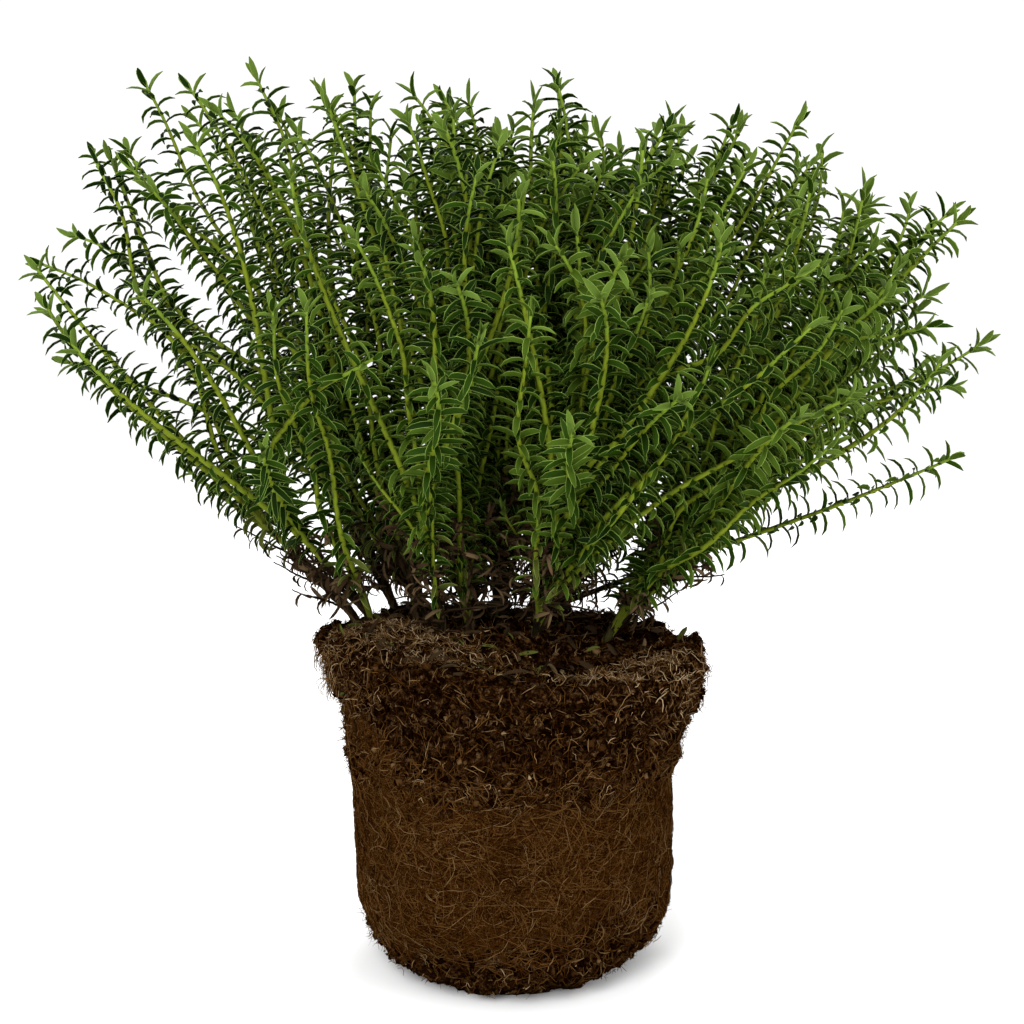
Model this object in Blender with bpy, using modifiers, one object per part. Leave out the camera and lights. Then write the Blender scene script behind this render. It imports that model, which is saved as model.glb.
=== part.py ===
"""A hebe lifted out of its pot: a shrub of many upright shoots standing on its bare root ball.

The origin is the centre of the root ball's flat underside, +Z is up, and the side seen first faces -Y.
Woody stems rise from sockets in the top of the root ball. Each carries one mass: a leader that forks
into leafy shoots, which end on the outline of the crown.
"""

import math
import random

import bmesh
import bpy
import numpy as np
from mathutils import Matrix, Vector

# Driving dimensions, in metres
BALL_HEIGHT = 0.1445
BALL_RADIUS = 0.0712
UNDERSIDE_RADIUS = 0.049
RIM_RADIUS = 0.0870
CROWN_HALF_WIDTH = 0.231
CROWN_FRONT_DEPTH = 0.150
CROWN_BACK_DEPTH = 0.172
CROWN_HEIGHT = 0.256
STEM_RADIUS = 0.0018
LEAF_LENGTH = 0.027
LEAF_WIDTH = 0.0068

# Root ball
BALL_STEPS = 34
CHAMFER = 0.030
RIM_LIP = 0.013
SOIL_RELIEF = 0.0018
SIDE_RELIEF = 0.0012
SOIL_EDGE = 0.072
MOUND = 0.006
RAISED_SIDE = 0.006
RAISED_AZIMUTH = math.radians(205)
RIGHT_FLARE = 0.0070

# Stems: for each ring, how many there are, their lean and how far from the middle their feet stand
RINGS = ((1, math.radians(3), 0.004), (5, math.radians(24), 0.028), (9, math.radians(49), 0.060))
RING_TURN = math.radians(28)
FRONT_UPRIGHT = 0.42
BACK_UPRIGHT = 0.13
FOOT_CENTRE = Vector((-0.012, 0.024, 0.0))
FOOT_DEPTH_SHARE = 0.50
LEAN_JITTER = math.radians(4)
WOODY_LENGTH = 0.048
FOOT_LEAN_SHARE = 0.62
SOCKET_DEPTH = 0.006
FLARE = 1.25
TIP_TAPER = 0.78
STEM_SIDES_RESOLUTION = 1
CLEARANCE = 0.0003

# Crown
CROWN_CENTRE = Vector((-0.006, 0.008, BALL_HEIGHT))
CROWN_POWER = 4.5
DEPTH_POWER = 2.8
FRONT_NARROWER = 0.22
LEFT_LONGER = 0.02
LEFT_TALLER = 0.06
LOW_LEAN = (math.radians(47), math.radians(70))
LOW_FADE = 0.27
LEFT_FADE = 0.72
SHOOTS = 4
SHOOT_SPREAD = math.radians(13)
TIP_SWEEP = Vector((-0.10, 0.0, 0.0))
TIP_JITTER = 0.30
REACH_RANGE = (0.93, 1.02)
TIP_LEAVES = 0.008
FORK_STEP = 0.009
TWIG_RADIUS = (0.0018, 0.0010)
TWIG_STEPS = 6

# Leaves
PAIRS = 4
FIRST_PAIR, LAST_PAIR = 0.24, 0.97
PAIR_STAGGER = 0.055
LEAF_LIFT = math.radians(58)
TIP_LIFT = math.radians(24)
TIP_LEAF_SIZE = 0.78
LEAF_THICKNESS = 0.0011
LEAF_WIDEST = 0.42
LEAF_DROOP = 0.20
LEAF_SIZES = (0.82, 1.08)
LEAF_CLEARANCE = 0.0012

# Colours, as linear red, green and blue
SOIL_BROWN = (0.055, 0.024, 0.008)
BARK_BROWN = (0.060, 0.034, 0.016)
LEAF_GREEN = (0.045, 0.115, 0.020)

UP = Vector((0.0, 0.0, 1.0))


def clear_scene():
    for obj in list(bpy.data.objects):
        bpy.data.objects.remove(obj)


def new_collection(name):
    made = bpy.data.collections.new(name)
    bpy.context.scene.collection.children.link(made)
    return made


def new_material(name, colour, roughness):
    made = bpy.data.materials.new(name)
    made.use_nodes = True
    shader = made.node_tree.nodes["Principled BSDF"]
    shader.inputs["Base Color"].default_value = (*colour, 1.0)
    shader.inputs["Roughness"].default_value = roughness
    shader.inputs["Metallic"].default_value = 0.0
    return made


def heading(lean, azimuth):
    """The unit direction that leans from upright by lean, towards azimuth."""
    return Vector((math.sin(lean) * math.cos(azimuth), math.sin(lean) * math.sin(azimuth), math.cos(lean)))


def smooth_step(low, high, value):
    share = min(max((value - low) / (high - low), 0.0), 1.0)
    return share * share * (3.0 - 2.0 * share)


def frame_along(direction):
    """Two unit vectors square to a direction and to each other."""
    across = direction.cross(UP)
    if across.length < 1e-3:
        across = Vector((1.0, 0.0, 0.0))
    across.normalize()
    return across, across.cross(direction).normalized()


# The root ball

def soil_height(x, y):
    """The height of the soil's gently uneven top."""
    waves = math.sin(61 * x + 1.1) * math.cos(53 * y - 0.4) + 0.5 * math.sin(97 * y + 83 * x)
    azimuth = math.atan2(y, x)
    towards_side = max(0.0, math.cos(azimuth - RAISED_AZIMUTH))
    raised = RAISED_SIDE * towards_side * smooth_step(0.030, SOIL_EDGE, math.hypot(x, y))
    from_stems = math.hypot(x - FOOT_CENTRE.x, y - FOOT_CENTRE.y)
    mound = MOUND * (1.0 - smooth_step(0.025, SOIL_EDGE, from_stems))
    return BALL_HEIGHT + SOIL_RELIEF * waves + raised + mound


def ball_profile():
    """The outline of the root ball as (radius, height), from the top's centre down its side to the underside."""
    return (
        (0.0, BALL_HEIGHT),
        (0.024, BALL_HEIGHT),
        (0.048, BALL_HEIGHT),
        (SOIL_EDGE, BALL_HEIGHT),
        (RIM_RADIUS - 0.0015, BALL_HEIGHT),
        (RIM_RADIUS, BALL_HEIGHT - 0.003),
        (RIM_RADIUS - 0.004, BALL_HEIGHT - RIM_LIP),
        (BALL_RADIUS + 0.0042, BALL_HEIGHT - 0.024),
        (BALL_RADIUS + 0.0028, BALL_HEIGHT - 0.046),
        (BALL_RADIUS + 0.0003, BALL_HEIGHT - 0.062),
        (BALL_RADIUS, 0.054),
        (BALL_RADIUS - 0.0002, CHAMFER),
        (UNDERSIDE_RADIUS + 0.0158, 0.45 * CHAMFER),
        (UNDERSIDE_RADIUS + 0.0090, 0.0055),
        (UNDERSIDE_RADIUS, 0.0),
        (0.0, 0.0),
    )


def uneven(point):
    """Moves a point of the turned ball to where the real one bulges, sinks or frays."""
    radius = math.hypot(point.x, point.y)
    if point.z < 1e-6 or radius < 1e-6:
        lift = soil_height(0.0, 0.0) - BALL_HEIGHT if point.z > BALL_HEIGHT / 2 else 0.0
        return Vector((point.x, point.y, point.z + lift))
    azimuth = math.atan2(point.y, point.x)
    bulge = SIDE_RELIEF * (math.sin(3 * azimuth + 40 * point.z) + 0.6 * math.sin(7 * azimuth - 55 * point.z))
    at_rim = smooth_step(BALL_HEIGHT - 0.030, BALL_HEIGHT, point.z)
    fray = at_rim * 0.0022 * (math.sin(5 * azimuth + 0.7) + math.sin(11 * azimuth))
    depth = BALL_HEIGHT - point.z
    below_lip = smooth_step(0.003, 0.017, depth) * (1.0 - smooth_step(0.025, 0.051, depth))
    flare = RIGHT_FLARE * max(0.0, math.cos(azimuth)) * below_lip
    on_side = smooth_step(0.050, SOIL_EDGE, radius)
    out = radius + on_side * (bulge + fray + flare)
    moved = Vector((out * math.cos(azimuth), out * math.sin(azimuth), point.z))
    top_share = smooth_step(BALL_HEIGHT - 0.040, BALL_HEIGHT - 0.002, point.z)
    moved.z += top_share * (soil_height(moved.x, moved.y) - BALL_HEIGHT)
    return moved


def root_ball(collection, material):
    """The ball as a turned profile, made uneven."""
    profile = bmesh.new()
    corners = [profile.verts.new((radius, 0.0, height)) for radius, height in ball_profile()]
    for above, below in zip(corners, corners[1:]):
        profile.edges.new((above, below))
    mesh = bpy.data.meshes.new("root_ball")
    profile.to_mesh(mesh)
    profile.free()
    turned = bpy.data.objects.new("root_ball", mesh)
    collection.objects.link(turned)
    screw = turned.modifiers.new("turn", "SCREW")
    screw.steps = screw.render_steps = BALL_STEPS
    screw.use_merge_vertices = True
    screw.merge_threshold = 0.00005
    apply_modifiers(turned)
    for vertex in turned.data.vertices:
        vertex.co = uneven(vertex.co)
    turned.data.materials.append(material)
    turned.data.shade_smooth()
    turned.data.set_sharp_from_angle(angle=math.radians(50))
    return turned


def apply_modifiers(obj):
    """Gives an object its evaluated mesh, with no modifiers left on it."""
    bpy.context.view_layer.update()
    graph = bpy.context.evaluated_depsgraph_get()
    baked = bpy.data.meshes.new_from_object(obj.evaluated_get(graph))
    obj.modifiers.clear()
    obj.data = baked


# Stems and shoots as paths

class Mass:
    """One stem and the shoots that it carries: where it stands, which way it leans and how far it goes."""

    def __init__(self, index, ring, place):
        count, lean, foot_radius = RINGS[ring]
        draw = random.Random(f"stem {index}")
        self.index = index
        self.azimuth = RING_TURN * ring + math.tau * (place + draw.uniform(-0.12, 0.12)) / count
        towards_depth = math.sin(self.azimuth)
        upright = (FRONT_UPRIGHT if towards_depth < 0 else BACK_UPRIGHT) * towards_depth**2 * min(ring, 1)
        self.lean = (lean + draw.uniform(-1, 1) * LEAN_JITTER) * (1.0 - upright)
        self.aim = heading(self.lean, self.azimuth)
        x = FOOT_CENTRE.x + foot_radius * math.cos(self.azimuth)
        y = FOOT_CENTRE.y + foot_radius * FOOT_DEPTH_SHARE * math.sin(self.azimuth)
        self.foot = Vector((x, y, soil_height(x, y)))
        self.foot_aim = heading(self.lean * FOOT_LEAN_SHARE, self.azimuth)
        self.length = WOODY_LENGTH * draw.uniform(0.85, 1.15)
        self.fork = self.foot + (self.foot_aim + self.aim).normalized() * self.length

    def stem_path(self):
        """From the socket's floor to the fork: straight out of the soil, then bending to the mass's own lean."""
        below = self.foot - self.foot_aim * SOCKET_DEPTH
        above = self.foot + self.foot_aim * 0.010
        middle = above.lerp(self.fork, 0.5) + (self.foot_aim - self.aim) * 0.004
        return [below, self.foot, above, middle, self.fork]

    def stem_radii(self):
        root = STEM_RADIUS * FLARE
        return [root, root, STEM_RADIUS, STEM_RADIUS * 0.9, STEM_RADIUS * TIP_TAPER]

    def shoot_aim(self, shoot):
        """The direction of a shoot's tip: the leader's own, or one of those that stand round it."""
        if shoot == 0:
            return self.aim
        across, upward = frame_along(self.aim)
        turn = self.azimuth + math.tau * shoot / (SHOOTS - 1)
        sideways = across * math.cos(turn) + upward * math.sin(turn)
        return (self.aim + sideways * math.tan(SHOOT_SPREAD)).normalized()

    def shoot_path(self, shoot):
        """A curve from the fork to the crown's outline. Tips turn a little to the left, where the light is."""
        draw = random.Random(f"shoot {self.index} {shoot}")
        aim = self.shoot_aim(shoot)
        tip = CROWN_CENTRE + aim * (crown_reach(aim) * draw.uniform(*REACH_RANGE) - TIP_LEAVES)
        leader_aim = (self.aim + self.foot_aim * 0.35).normalized()
        start = self.fork + leader_aim * CLEARANCE
        if shoot > 0:
            leader = self.shoot_path(0)
            share = FORK_STEP * shoot / (leader[-1] - leader[0]).length
            start, leader_aim = point_along(leader, share)
        span = (tip - start).length
        turn = Vector([draw.uniform(-1, 1) * TIP_JITTER for _ in range(3)])
        end_aim = ((tip - start) / span + TIP_SWEEP + turn).normalized()
        start_aim = leader_aim if shoot == 0 else ((tip - start) / span + leader_aim * 0.4).normalized()
        return hermite(start, start_aim * span, tip, end_aim * span, TWIG_STEPS)


def crown_reach(aim):
    """How far the crown goes from its centre: square-shouldered seen from the front, rounder from the side."""
    across = abs(aim.x) / CROWN_HALF_WIDTH
    upward = max(aim.z, 0.0) / (CROWN_HEIGHT * (1.0 - LEFT_TALLER * aim.x))
    seen = (across**CROWN_POWER + upward**CROWN_POWER) ** (1.0 / CROWN_POWER)
    depth = CROWN_FRONT_DEPTH if aim.y < 0 else CROWN_BACK_DEPTH
    reach = (seen**DEPTH_POWER + abs(aim.y / depth) ** DEPTH_POWER) ** (-1.0 / DEPTH_POWER)
    lean = math.acos(max(-1.0, min(1.0, aim.z)))
    fade = LOW_FADE * (1.0 - LEFT_FADE * aim.x) * smooth_step(*LOW_LEAN, lean)
    near = FRONT_NARROWER * max(0.0, -aim.y)
    return reach * (1.0 - LEFT_LONGER * aim.x) * (1.0 - fade) * (1.0 - near)


def hermite(start, start_pull, end, end_pull, steps):
    """Points on a cubic curve from start to end with those pulls at its ends."""
    points = []
    for i in range(steps + 1):
        t = i / steps
        a = 2 * t**3 - 3 * t**2 + 1
        b = t**3 - 2 * t**2 + t
        c = 3 * t**2 - 2 * t**3
        d = t**3 - t**2
        points.append(start * a + start_pull * b + end * c + end_pull * d)
    return points


def point_along(path, share):
    """The point and the unit direction at a share of a path's length."""
    lengths = [(b - a).length for a, b in zip(path, path[1:])]
    left = share * sum(lengths)
    for (a, b), length in zip(zip(path, path[1:]), lengths):
        if left <= length:
            return a.lerp(b, left / length), (b - a).normalized()
        left -= length
    return path[-1].copy(), (path[-1] - path[-2]).normalized()


# Solids

def tube(name, path, radii, profile):
    """A closed mesh object along a path, with the profile's outline and a radius for each point."""
    curve = bpy.data.curves.new(name, "CURVE")
    curve.dimensions = "3D"
    curve.use_fill_caps = True
    if profile is None:
        curve.bevel_depth = 1.0
        curve.bevel_resolution = STEM_SIDES_RESOLUTION
    else:
        curve.bevel_mode = "OBJECT"
        curve.bevel_object = profile
    spline = curve.splines.new("POLY")
    spline.points.add(len(path) - 1)
    for point, place, radius in zip(spline.points, path, radii):
        point.co = (*place, 1.0)
        point.radius = radius
    guide = bpy.data.objects.new(name, curve)
    bpy.context.scene.collection.objects.link(guide)
    bpy.context.view_layer.update()
    graph = bpy.context.evaluated_depsgraph_get()
    mesh = bpy.data.meshes.new_from_object(guide.evaluated_get(graph))
    bpy.data.objects.remove(guide)
    welded = bmesh.new()
    welded.from_mesh(mesh)
    bmesh.ops.remove_doubles(welded, verts=welded.verts, dist=1e-6)
    bmesh.ops.recalc_face_normals(welded, faces=welded.faces)
    welded.to_mesh(mesh)
    welded.free()
    return bpy.data.objects.new(name, mesh)


def three_sided_profile():
    """The outline of a twig, one unit in radius."""
    curve = bpy.data.curves.new("twig_profile", "CURVE")
    curve.dimensions = "2D"
    spline = curve.splines.new("POLY")
    spline.points.add(2)
    for i, point in enumerate(spline.points):
        turn = -math.tau * i / 3
        point.co = (math.cos(turn), math.sin(turn), 0.0, 1.0)
    spline.use_cyclic_u = True
    profile = bpy.data.objects.new("twig_profile", curve)
    bpy.context.scene.collection.objects.link(profile)
    profile.hide_render = True
    return profile


class Leaf:
    """A pointed blade of eight faces: where it leaves the twig, which way it goes and its size."""

    def __init__(self, root, along, normal, length):
        self.root = root
        self.along = along
        self.normal = normal
        self.across = along.cross(normal).normalized()
        self.length = length

    def corners(self):
        """The root, the widest place's four corners and the tip."""
        size = self.length / LEAF_LENGTH
        middle = self.root + self.along * (self.length * LEAF_WIDEST)
        half = self.across * (LEAF_WIDTH * size / 2)
        thick = self.normal * (LEAF_THICKNESS / 2)
        tip = self.root + self.along * self.length - self.normal * (self.length * LEAF_DROOP)
        return self.root, middle + half, middle - half, middle + thick, middle - thick, tip

    def solid(self):
        """The blade as a sphere of eight faces, pulled to its corners."""
        root, right, left, above, below, tip = self.corners()
        blade = bmesh.new()
        bmesh.ops.create_uvsphere(blade, u_segments=4, v_segments=2, radius=1.0)
        for corner in blade.verts:
            x, y, z = (round(value) for value in corner.co)
            corner.co = {(0, 0, -1): root, (0, 0, 1): tip, (1, 0, 0): right, (-1, 0, 0): left,
                         (0, 1, 0): above, (0, -1, 0): below}[(x, y, z)]
        bmesh.ops.recalc_face_normals(blade, faces=blade.faces)
        mesh = bpy.data.meshes.new("leaf")
        blade.to_mesh(mesh)
        blade.free()
        return bpy.data.objects.new("leaf", mesh)

    def capsules(self):
        """The blade as two thick lines, for keeping clear of other masses."""
        root, right, left, _, _, tip = self.corners()
        middle = (right + left) / 2
        half = (right - left).length / 2
        return [(root.lerp(middle, 0.25), middle, 0.8 * half), (middle, tip, 0.6 * half)]


def leaves_of(mass, shoot, path):
    """Crossed pairs of leaves up a shoot. The pairs open wide low down and close round the tip."""
    draw = random.Random(f"leaves {mass.index} {shoot}")
    turn = draw.uniform(0, math.tau)
    made = []
    for pair in range(PAIRS):
        first = FIRST_PAIR + PAIR_STAGGER * shoot
        share = first + (LAST_PAIR - first) * pair / (PAIRS - 1)
        place, direction = point_along(path, share)
        across, upward = frame_along(direction)
        near_tip = smooth_step(0.75, LAST_PAIR, share)
        lift = LEAF_LIFT + (TIP_LIFT - LEAF_LIFT) * near_tip
        size = 1.0 + (TIP_LEAF_SIZE - 1.0) * near_tip
        for side in (0, 1):
            angle = turn + math.pi / 2 * pair + math.pi * side
            out = across * math.cos(angle) + upward * math.sin(angle)
            along = direction * math.cos(lift) + out * math.sin(lift)
            normal = direction * math.sin(lift) - out * math.cos(lift)
            length = LEAF_LENGTH * size * draw.uniform(*LEAF_SIZES)
            made.append(Leaf(place - out * 0.0002, along, normal, length))
    return made


# Clearance

class Occupied:
    """Thick lines that are already taken, each with the number of the mass that owns it."""

    def __init__(self):
        self.starts, self.ends, self.radii, self.owners = [], [], [], []

    def add(self, start, end, radius, owner):
        self.starts.append(tuple(start))
        self.ends.append(tuple(end))
        self.radii.append(radius)
        self.owners.append(owner)

    def free(self, start, end, radius, owner):
        """True if a thick line stays clear of everything that another mass owns."""
        others = np.array(self.owners) != owner
        if not others.any():
            return True
        distances = line_distances(np.array(start), np.array(end), np.array(self.starts)[others],
                                   np.array(self.ends)[others])
        return bool((distances > radius + np.array(self.radii)[others] + LEAF_CLEARANCE).all())


def line_distances(p, q, starts, ends):
    """The shortest distance between the line pq and each of many lines."""
    d, e, r = q - p, ends - starts, p - starts
    a, f = d @ d, np.einsum("ij,ij->i", e, e)
    b, c, g = e @ d, r @ d, np.einsum("ij,ij->i", e, r)
    denominator = np.maximum(a * f - b * b, 1e-18)
    s = np.clip((b * g - c * f) / denominator, 0.0, 1.0)
    t = np.clip((b * s + g) / f, 0.0, 1.0)
    s = np.clip((b * t - c) / a, 0.0, 1.0)
    apart = (p + s[:, None] * d) - (starts + t[:, None] * e)
    return np.linalg.norm(apart, axis=1)


# Assembly

def plan_masses():
    made = []
    for ring, (count, _, _) in enumerate(RINGS):
        for place in range(count):
            made.append(Mass(len(made), ring, place))
    return made


def twig_radii(steps):
    base, tip = TWIG_RADIUS
    return [base + (tip - base) * i / steps for i in range(steps + 1)]


def claim(occupied, path, radii, owner):
    for (start, end), radius in zip(zip(path, path[1:]), radii):
        occupied.add(start, end, radius, owner)


def clear_shoots(masses, occupied):
    """Every shoot's path, leaving out any that would touch another mass."""
    for mass in masses:
        claim(occupied, mass.stem_path(), mass.stem_radii(), mass.index)
    shoots = {}
    for shoot in range(SHOOTS):
        for mass in masses:
            path = mass.shoot_path(shoot)
            radii = twig_radii(TWIG_STEPS)
            if all(occupied.free(a, b, r, mass.index) for a, b, r in zip(path, path[1:], radii)):
                claim(occupied, path, radii, mass.index)
                shoots[mass.index, shoot] = path
            else:
                print("left out shoot", mass.index, shoot)
    return shoots


def clear_leaves(masses, shoots, occupied):
    """The leaves of every shoot, leaving out any that would touch another mass or the soil."""
    kept = {mass.index: [] for mass in masses}
    skipped = 0
    for (index, shoot), path in shoots.items():
        for leaf in leaves_of(masses[index], shoot, path):
            clear = all(occupied.free(a, b, r, index) for a, b, r in leaf.capsules())
            if not clear or leaf.corners()[-1].z < BALL_HEIGHT + 0.012:
                skipped += 1
                continue
            for start, end, radius in leaf.capsules():
                occupied.add(start, end, radius, index)
            kept[index].append(leaf)
    print("leaves", sum(len(found) for found in kept.values()), "skipped", skipped)
    return kept


def fuse(name, pieces, collection, material):
    """One solid from overlapping pieces, by one Boolean union on a collection."""
    helpers = new_collection(name + "_pieces")
    body = pieces[0]
    body.name = name
    collection.objects.link(body)
    for piece in pieces[1:]:
        helpers.objects.link(piece)
    union = body.modifiers.new("fuse", "BOOLEAN")
    union.operation = "UNION"
    union.operand_type = "COLLECTION"
    union.collection = helpers
    union.solver = "EXACT"
    apply_modifiers(body)
    for piece in pieces[1:]:
        bpy.data.objects.remove(piece)
    bpy.data.collections.remove(helpers)
    body.data.materials.clear()
    body.data.materials.append(material)
    return body


def cut_sockets(ball, masses):
    """Cuts a socket for each stem's foot, a little wider and deeper than the foot."""
    cutters = new_collection("socket_cutters")
    cutters.hide_render = True
    for mass in masses:
        radius = STEM_RADIUS * FLARE + 2 * CLEARANCE
        depth = SOCKET_DEPTH + CLEARANCE
        tall = depth + 0.006
        shape = bmesh.new()
        bmesh.ops.create_cone(shape, cap_ends=True, segments=8, radius1=radius, radius2=radius, depth=tall)
        turn = UP.rotation_difference(mass.foot_aim).to_matrix().to_4x4()
        middle = mass.foot + mass.foot_aim * (tall / 2 - depth)
        shape.transform(Matrix.Translation(middle) @ turn)
        mesh = bpy.data.meshes.new("socket")
        shape.to_mesh(mesh)
        shape.free()
        cutter = bpy.data.objects.new(f"socket_{mass.index:02d}", mesh)
        cutter.hide_render = True
        cutter.display_type = "WIRE"
        cutters.objects.link(cutter)
    cut = ball.modifiers.new("sockets", "BOOLEAN")
    cut.operation = "DIFFERENCE"
    cut.operand_type = "COLLECTION"
    cut.collection = cutters
    cut.solver = "EXACT"


def main():
    clear_scene()
    plant = new_collection("hebe")
    soil = new_material("soil", SOIL_BROWN, 0.95)
    bark = new_material("bark", BARK_BROWN, 0.85)
    green = new_material("foliage", LEAF_GREEN, 0.5)
    profile = three_sided_profile()

    masses = plan_masses()
    ball = root_ball(plant, soil)
    cut_sockets(ball, masses)

    occupied = Occupied()
    shoots = clear_shoots(masses, occupied)
    leaves = clear_leaves(masses, shoots, occupied)
    for mass in masses:
        stem = tube(f"stem_{mass.index:02d}", mass.stem_path(), mass.stem_radii(), None)
        stem.data.materials.append(bark)
        plant.objects.link(stem)
        twigs = [tube("twig", path, twig_radii(TWIG_STEPS), profile)
                 for (index, _), path in shoots.items() if index == mass.index]
        blades = [leaf.solid() for leaf in leaves[mass.index]]
        fuse(f"foliage_{mass.index:02d}", twigs + blades, plant, green)
    bpy.data.objects.remove(profile)


main()
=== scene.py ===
"""The looks of a hebe on its bare root ball: leafy shoots, woody stems, matted roots and crumbling peat.

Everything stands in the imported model's frame, in metres. The shoots grow by the rule that the solid model
follows, carried on to more shoots and to leaves of their true size.
"""

import math
import random
from collections import namedtuple

import bpy
import numpy as np
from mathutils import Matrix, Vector, noise


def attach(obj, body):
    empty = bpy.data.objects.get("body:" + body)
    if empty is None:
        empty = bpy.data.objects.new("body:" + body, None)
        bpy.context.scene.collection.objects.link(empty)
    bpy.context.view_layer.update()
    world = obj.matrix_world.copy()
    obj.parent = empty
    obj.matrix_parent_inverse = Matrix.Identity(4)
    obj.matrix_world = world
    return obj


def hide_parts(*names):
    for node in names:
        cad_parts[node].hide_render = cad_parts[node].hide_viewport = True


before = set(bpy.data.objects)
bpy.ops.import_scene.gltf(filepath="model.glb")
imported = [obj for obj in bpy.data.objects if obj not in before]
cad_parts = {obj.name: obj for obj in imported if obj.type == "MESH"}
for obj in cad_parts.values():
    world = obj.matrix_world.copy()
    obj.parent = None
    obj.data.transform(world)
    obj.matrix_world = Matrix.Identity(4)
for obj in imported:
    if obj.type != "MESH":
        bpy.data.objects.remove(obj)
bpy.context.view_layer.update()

# Driving dimensions, as in the solid model
BALL_HEIGHT = 0.1445
BALL_RADIUS = 0.0712
UNDERSIDE_RADIUS = 0.049
RIM_RADIUS = 0.0870
CROWN_HALF_WIDTH = 0.231
CROWN_FRONT_DEPTH = 0.150
CROWN_BACK_DEPTH = 0.172
CROWN_HEIGHT = 0.256
STEM_RADIUS = 0.0018
CHAMFER = 0.030
RIM_LIP = 0.013
SOIL_RELIEF = 0.0018
SIDE_RELIEF = 0.0012
SOIL_EDGE = 0.072
MOUND = 0.006
RAISED_SIDE = 0.006
RAISED_AZIMUTH = math.radians(205)
RIGHT_FLARE = 0.0070

# Stems and crown, as in the solid model
RINGS = ((1, math.radians(3), 0.004), (5, math.radians(24), 0.028), (9, math.radians(49), 0.060))
RING_TURN = math.radians(28)
FRONT_UPRIGHT = 0.42
BACK_UPRIGHT = 0.13
FOOT_CENTRE = Vector((-0.012, 0.024, 0.0))
FOOT_DEPTH_SHARE = 0.50
LEAN_JITTER = math.radians(4)
WOODY_LENGTH = 0.048
FOOT_LEAN_SHARE = 0.62
SOCKET_DEPTH = 0.006
FLARE = 1.25
TIP_TAPER = 0.78
CROWN_CENTRE = Vector((-0.006, 0.008, BALL_HEIGHT))
CROWN_POWER = 4.5
DEPTH_POWER = 2.8
FRONT_NARROWER = 0.22
LEFT_LONGER = 0.02
LEFT_TALLER = 0.06
LOW_LEAN = (math.radians(47), math.radians(70))
LOW_FADE = 0.27
LEFT_FADE = 0.72
SOLID_SHOOTS = 4
SHOOT_SPREAD = math.radians(13)
TIP_SWEEP = Vector((-0.10, 0.0, 0.0))
TIP_JITTER = 0.30
REACH_RANGE = (0.93, 1.02)
TIP_LEAVES = 0.008
FORK_STEP = 0.009
CLEARANCE = 0.0003

# Shoots beyond those of the solid model
MORE_SHOOTS = 176
MAX_LEAN = math.radians(63)
TRIALS = 10
UPRIGHT_BIAS = 1.50
RIGHT_BIAS = 0.80
MORE_STARTS = (0.12, 2.2)
SOIL_STARTS = (0.0, 0.25)
SOIL_SHARE = 0.40
LEADER_STRETCH = 0.045
NEAREST_SHARES = (0.62, 0.26, 0.12)
RANDOM_REACH = (0.66, 0.96)
BOW = (-0.1, 0.45)
SHOOT_STEPS = 60
SHORT_SHOOTS = 3
SHORTEST_LEFT = -0.30
SHORT_STARTS = (0.30, 0.95)
SHORT_LENGTH = (0.026, 0.060)
FRONT_SHORT_LENGTH = (0.040, 0.095)
SHORT_TILT = (0, 26)
FRONT_SHORT_TILT = (-16, 10)
SHORT_TURN = 1.5
SHOOT_RADIUS = (0.00150, 0.00072)
SHOOT_SIDES = 5
NODE_SWELL = 0.10
WANDER = 0.026
ARCH = 0.70
# The shoots with the crown's furthest tips: their lean to the right of upright and towards the back, both in
# degrees, their reach, and how much they set out upwards, or below nought downwards
FAR_SHOOTS = (
    (-32, 2, 0.303, 0.0),
    (-28, -5, 0.287, 0.1),
    (-23, 3, 0.283, 0.0),
    (-40, 6, 0.298, 0.1),
    (-50, 2, 0.275, 0.3),
    (-47, 9, 0.282, 0.2),
    (-57, 4, 0.242, 0.7),
    (-13, -3, 0.253, 0.0),
    (-3, 2, 0.251, 0.0),
    (6, -4, 0.257, 0.0),
    (24, 3, 0.264, 0.0),
    (29, -4, 0.273, 0.1),
    (40, 5, 0.265, 0.1),
    (46, 2, 0.287, 0.2),
    (58, 2, 0.264, 0.2),
    (59, -4, 0.239, 0.1),
    (67, -2, 0.227, -0.7),
)
# Likewise the shoots that fill the crown's upper corners
CORNER_SHOOTS = (
    (-36, -8, 0.272, 0.1),
    (-29, 8, 0.268, 0.0),
    (-25, -9, 0.255, 0.0),
    (27, 8, 0.254, 0.0),
    (34, 6, 0.258, 0.1),
    (37, -8, 0.254, 0.1),
    (48, 7, 0.258, 0.1),
)

# Leaves
LEAF_LENGTH = 0.0128
LEAF_WIDTH = 0.0029
PAIR_GAP = (0.0026, 0.0036)
PAIRS_TO_OPEN = 3
MARGIN_SHARE = 0.13
LEAF_STATIONS = np.array([0.0, 0.25, 0.50, 0.75, 1.0])
LEAF_OUTLINE = np.array([0.40, 0.92, 1.0, 0.84, 0.16])
LEAF_FOLD = 0.74
RIGHT_LEAVES = 0.06
# Painted light and shade on the leaves: lighter tones near each shoot's tip, and darker tones over this span of
# distances from the tip, deep inside the crown where shade falls
PAINTED_TIP_LIGHT = 0.5
PAINTED_SHADE_ZONE = (0.015, 0.10)
# What sets the masses' leaves apart: size, breadth, how far they bend back, how much painted shade darkens
# them far from the tip, and how much lower down than elsewhere they stay green
Habit = namedtuple("Habit", "size, breadth, bend, shade, fresh")
MOST_LEAVES = Habit(1.0, 1.0, 1.0, 1.1, (0.0, 0.0))
FRONT_LEAVES = Habit(1.02, 0.94, 0.80, 0.15, (0.020, 0.048))
IN_FRONT = -0.25

# How far up from the soil leaves are missing, dead or olive
BARE_ZONE = (0.010, 0.034)
DEAD_ZONE = (0.024, 0.056)
OLIVE_ZONE = (0.045, 0.100)

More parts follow.
